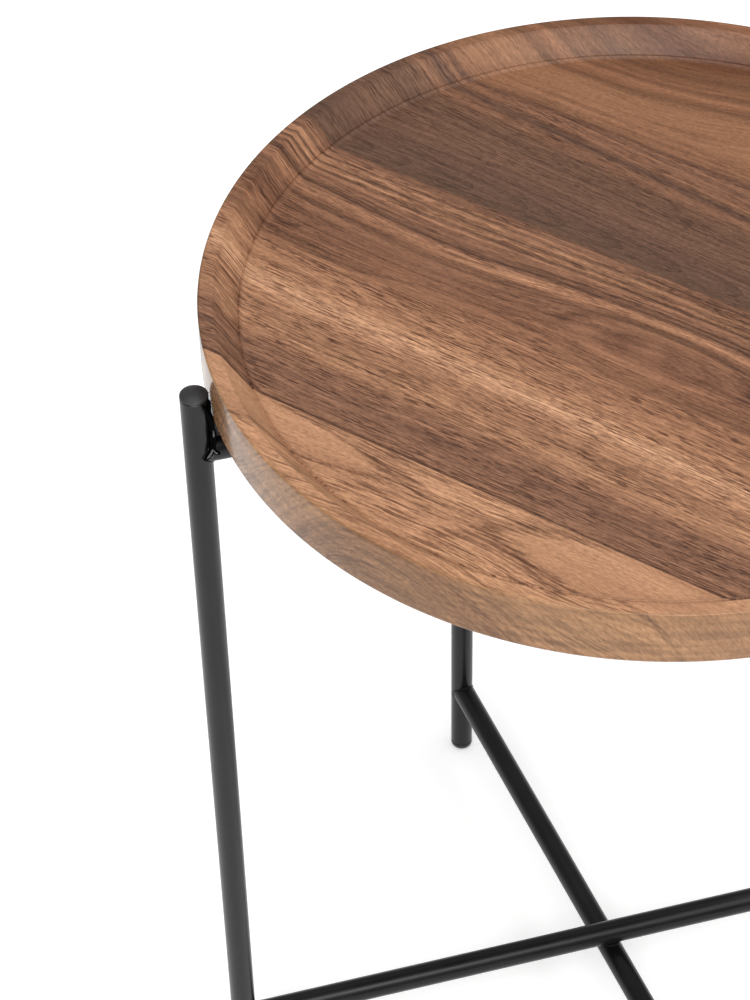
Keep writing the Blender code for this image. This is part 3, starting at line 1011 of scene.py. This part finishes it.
# Runs of weld on the side of a post, as (x, y, z, radius) in mm, x out along the bar from the table's
# centre line, y to the side and z above the bar's axis
TACK_STROKES = (
    # down the post's side, beside the tray
    ((204.4, 5.7, 31.0, 0.5), (203.2, 5.6, 28.6, 0.8), (201.9, 5.3, 25.0, 1.05), (201.5, 5.1, 22.0, 1.15),
     (201.0, 4.9, 17.5, 1.4), (200.7, 4.9, 14.6, 1.35)),
    ((201.0, 4.1, 31.0, 0.8), (201.5, 4.9, 27.0, 1.15), (201.6, 4.9, 23.0, 1.1)),
    # thicker below the tray, to the bar
    ((200.7, 4.9, 13.2, 1.85), (200.8, 5.0, 9.0, 1.75), (201.1, 5.4, 6.0, 1.6), (201.5, 5.8, 3.4, 1.6)),
    ((201.8, 6.0, 3.8, 1.3), (203.4, 6.2, 1.6, 1.1), (205.2, 6.2, -0.6, 0.8)),
    ((201.4, 6.0, 3.8, 1.2), (200.0, 6.4, 2.2, 1.0), (198.6, 6.4, 1.2, 0.7)),
    ((201.8, 5.6, 2.0, 1.0), (203.4, 5.8, -0.4, 0.9), (204.6, 5.9, -1.8, 0.7)),
    # along the lug, under the tray, and between the lug and the post
    ((200.4, 3.2, 19.0, 1.5), (198.4, 2.6, 18.5, 1.5), (196.8, 2.2, 18.7, 1.2)),
    ((200.6, 3.4, 18.0, 1.4), (200.6, 3.2, 8.0, 1.4)),
)
TACK_DRIPS = (
    ((200.5, 6.3, 15.6, 0.35), (200.5, 6.6, 14.0, 0.55), (200.6, 6.7, 12.4, 0.5)),
    ((201.7, 7.0, 5.2, 0.45), (202.2, 7.1, 3.4, 0.7), (203.2, 7.0, 1.6, 0.7), (204.2, 6.8, 0.4, 0.4)),
    ((201.0, 7.0, 4.4, 0.4), (200.3, 7.1, 3.0, 0.55), (199.6, 7.1, 2.3, 0.45)),
    ((201.2, 6.9, 1.6, 0.4), (201.9, 6.9, 0.6, 0.5)),
)


def tack_blob(name, strokes, matrix, body, material):
    """A weld built up from runs of overlapping beads, melted together."""
    bm = bmesh.new()
    for stroke in strokes:
        for a, b in zip(stroke, stroke[1:]):
            length = (Vector(b[:3]) - Vector(a[:3])).length
            count = max(2, int(length / TACK_BEAD_STEP))
            for i in range(count + 1):
                share = i / count
                *place, radius = (p + (q - p) * share for p, q in zip(a, b))
                ball = Matrix.Translation(Vector(place) * MM)
                bmesh.ops.create_icosphere(bm, subdivisions=2, radius=radius * MM, matrix=ball)
    item = add_object("scratch", bm)
    melt = item.modifiers.new("melt", "REMESH")
    melt.mode = "VOXEL"
    melt.voxel_size = TACK_VOXEL
    relax = item.modifiers.new("relax", "SMOOTH")
    relax.factor = 0.6
    relax.iterations = 8
    melted = transformed(evaluated_mesh(item), matrix)
    add_piece(name, melted, [material], body, sharp_deg=180)


def make_tack(corner, other, material, drip_material):
    """The upright weld that holds a lug to its post and to the bar, forked at its foot."""
    matrix = frame_matrix(other, corner, middle_height("top_bar_inner"))
    body = BODY_OF["post_" + corner]
    # painted shade: the weld's strokes beside the tray, in dead black, also fill the shaded strip between
    # post and tray
    tack_blob("tack_weld_" + corner, TACK_STROKES, matrix, body, material)
    tack_blob("tack_drips_" + corner, TACK_DRIPS, matrix, body, drip_material)


# ---- pivots

def pivot_part(part, place, profile, material, socket=None):
    """One turned part of a crossing's pivot, on the table's centre line, with an optional socket."""
    bm = turned(profile, PIVOT_SEGMENTS, closed=profile[0][0] > 0)
    if socket:
        bm = drilled(bm, socket)
    stand_in("pivot_" + part + "_" + place, "_fine", bm, [material])


def pivot_reach(part, place):
    """A pivot part's radius and its lowest and highest Z."""
    low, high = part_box("pivot_" + part + "_" + place)
    return (high.x - low.x) / 2, low.z, high.z


def make_sleeve(place, steel):
    low, high = pivot_reach("sleeve", place)[1:]
    profile = [
        (SLEEVE_BORE, low),
        (SLEEVE_RADIUS - EDGE_CHAMFER, low),
        (SLEEVE_RADIUS, low + EDGE_CHAMFER),
        (SLEEVE_RADIUS, high),
        (SLEEVE_BORE, high),
    ]
    pivot_part("sleeve", place, profile, steel)


def make_washer(place, nylon):
    radius, low, high = pivot_reach("washer", place)
    edge = (high - low) / 2
    rounded = arc(radius - edge, low + edge, edge, -90, 90, 6)
    profile = [(SLEEVE_BORE, low), *rounded, (SLEEVE_BORE, high)]
    pivot_part("washer", place, profile, nylon)


def make_nut(place, steel):
    """A rivet nut in the underside of the upper bar, with its collar inside the tube."""
    radius, low, high = pivot_reach("nut", place)
    collar_low, collar_high = (low + TUBE_RADIUS - depth for depth in NUT_COLLAR)
    profile = [
        (SLEEVE_BORE, low),
        (SLEEVE_RADIUS, low),
        (SLEEVE_RADIUS, collar_low),
        (radius, collar_low),
        (radius, collar_high),
        (SLEEVE_RADIUS, collar_high),
        (SLEEVE_RADIUS, high),
        (SLEEVE_BORE, high),
    ]
    pivot_part("nut", place, profile, steel)


def make_screw(place, steel):
    """A button head screw, head down, with a hexagon socket."""
    radius, low, high = pivot_reach("screw", place)
    under_head = low + HEAD_HEIGHT
    land = SOCKET_RADIUS + SOCKET_LAND
    dome = HEAD_HEIGHT * HEAD_DOME
    edge = EDGE_CHAMFER
    profile = [(0, low), (land, low)]
    for i in range(1, HEAD_STEPS):
        angle = math.radians(90 * i / HEAD_STEPS)
        profile.append((land + (radius - land) * math.sin(angle), low + dome * (1 - math.cos(angle))))
    profile += [
        (radius, low + dome),
        (radius, under_head - edge),
        (radius - edge, under_head),
        (SHANK_RADIUS, under_head),
        (SHANK_RADIUS, high - SHANK_CHAMFER),
        (SHANK_RADIUS - SHANK_CHAMFER, high),
        (0, high),
    ]
    socket = upright(SOCKET_RADIUS, low - SOCKET_DEPTH, low + SOCKET_DEPTH, 6)
    pivot_part("screw", place, profile, steel, socket)


def make_pivot(place, steel, nylon):
    make_sleeve(place, steel)
    make_washer(place, nylon)
    make_nut(place, steel)
    make_screw(place, steel)


# ---- stage

FLOOR_HALF = 6.0
FLOOR_GLOW = 0.25  # the floor is a light table, so shadows on it stay faint
ROOM_LIGHT = 0.42  # the world's strength at the walls, and overhead
CEILING_LIGHT = 1.30
CEILING_FROM = math.sin(math.radians(52))  # the elevations between which one turns to the other
CEILING_FULL = math.sin(math.radians(68))

# Soft boxes: azimuth (0 is the front, 90 the right), elevation, distance, width, height and watts
SOFT_BOXES = {
    "key": (25, 50, 2.6, 1.8, 0.9, 33),
    "soft_box": (62, 62, 2.7, 3.4, 3.4, 48),
}

RIM_HEIGHT = CAD_BOX[1].z
LIGHT_AIM = Vector((0, 0, 0.6 * RIM_HEIGHT))
CAMERA_FROM_RIM = Vector((0.3433, -0.9235, 0.8437))  # from the centre of the tray's rim
CAMERA_TURN = math.radians(25.553)
CAMERA_PITCH = math.radians(42.997)  # below the horizon
LENS_MM = 105.62
SHIFT = (-0.0754, -0.100)
CLIP_START = 0.05


def make_camera():
    data = bpy.data.cameras.new("camera")
    data.lens = LENS_MM
    data.shift_x, data.shift_y = SHIFT
    data.clip_start = CLIP_START
    camera = add_object("camera", data)
    camera.location = Vector((0, 0, RIM_HEIGHT)) + CAMERA_FROM_RIM
    camera.rotation_euler = (math.pi / 2 - CAMERA_PITCH, 0, CAMERA_TURN)
    bpy.context.scene.camera = camera


def floor_material():
    g = Graph("pale_floor")
    x, y, _ = g.position()
    g.set(Base_Color=g.mix_colour(g.grain((x, y), (3, 3)), grey(0.93), grey(0.96)), Roughness=0.75)
    g.set(Specular_IOR_Level=0.2, Emission_Color=grey(1.0), Emission_Strength=FLOOR_GLOW)
    return g.material


def make_floor():
    bm = bmesh.new()
    bmesh.ops.create_grid(bm, x_segments=8, y_segments=8, size=FLOOR_HALF)
    floor = add_object("floor", bm)
    floor.data.materials.append(floor_material())


def make_world():
    """A plain white room with a brighter ceiling."""
    world = bpy.data.worlds.new("studio")
    world.use_nodes = True
    nodes = world.node_tree.nodes
    links = world.node_tree.links
    way = nodes.new("ShaderNodeTexCoord")
    split = nodes.new("ShaderNodeSeparateXYZ")
    rise = nodes.new("ShaderNodeMapRange")
    rise.interpolation_type = "SMOOTHSTEP"
    for socket, value in zip(rise.inputs[1:], (CEILING_FROM, CEILING_FULL, ROOM_LIGHT, CEILING_LIGHT)):
        socket.default_value = value
    background = nodes["Background"]
    background.inputs["Color"].default_value = grey(1.0)
    links.new(way.outputs["Generated"], split.inputs[0])
    links.new(split.outputs["Z"], rise.inputs["Value"])
    links.new(rise.outputs[0], background.inputs["Strength"])
    bpy.context.scene.world = world


def add_soft_box(name, azimuth_deg, elevation_deg, distance, width, height, watts):
    """An area light aimed at the table."""
    azimuth = math.radians(azimuth_deg)
    elevation = math.radians(elevation_deg)
    level = math.cos(elevation)
    way = Vector((math.sin(azimuth) * level, -math.cos(azimuth) * level, math.sin(elevation)))
    lamp = bpy.data.lights.new(name, "AREA")
    lamp.shape = "RECTANGLE"
    lamp.size = width
    lamp.size_y = height
    lamp.energy = watts
    item = add_object(name, lamp)
    item.location = LIGHT_AIM + way * distance
    item.rotation_euler = way.to_track_quat("Z", "Y").to_euler()


def make_stage():
    make_floor()
    make_world()
    for name, box in SOFT_BOXES.items():
        add_soft_box(name, *box)
    bpy.context.scene.view_settings.view_transform = "Standard"


# ---- the whole table

FRAMES = {"inner": ("front_left", "back_right"), "outer": ("back_left", "front_right")}


def make_crossing(level, tube, weld):
    """The two bars that cross at one level, each with its pivot hole and a weld at either end."""
    heights = {name: middle_height(level + "_bar_" + name) for name in FRAMES}
    hole = (min(heights.values()) - 2 * TUBE_RADIUS, max(heights.values()))
    for name, (start, end) in FRAMES.items():
        bar = level + "_bar_" + name
        make_bar(bar, start, end, heights[name], hole, tube)
        for side, corner in ((-1, start), (1, end)):
            make_weld("weld_" + bar + "_" + corner, start, end, side, heights[name], BODY_OF[bar], weld)


def main():
    make_camera()
    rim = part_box("tray")[1]
    make_tray(foil_material(rim.x, rim.z), backing_material())
    tube = tube_coat()
    weld = weld_coat()
    tack = shade_black_coat()
    drip = drip_coat()
    plastic = plug_plastic()
    nylon = washer_nylon()
    steel = steel_material()

    for corners in FRAMES.values():
        for corner in corners:
            make_post(corner, tube)
            make_cap(corner, plastic)
            make_foot(corner, plastic)
    for level in ("top", "bottom"):
        make_crossing(level, tube, weld)
    left, right = FRAMES["inner"]
    for corner, other in ((left, right), (right, left)):
        dress_lug(corner, weld)
        make_tack(corner, other, tack, drip)
    for place in ("upper", "lower"):
        make_pivot(place, steel, nylon)
    make_stage()


main()
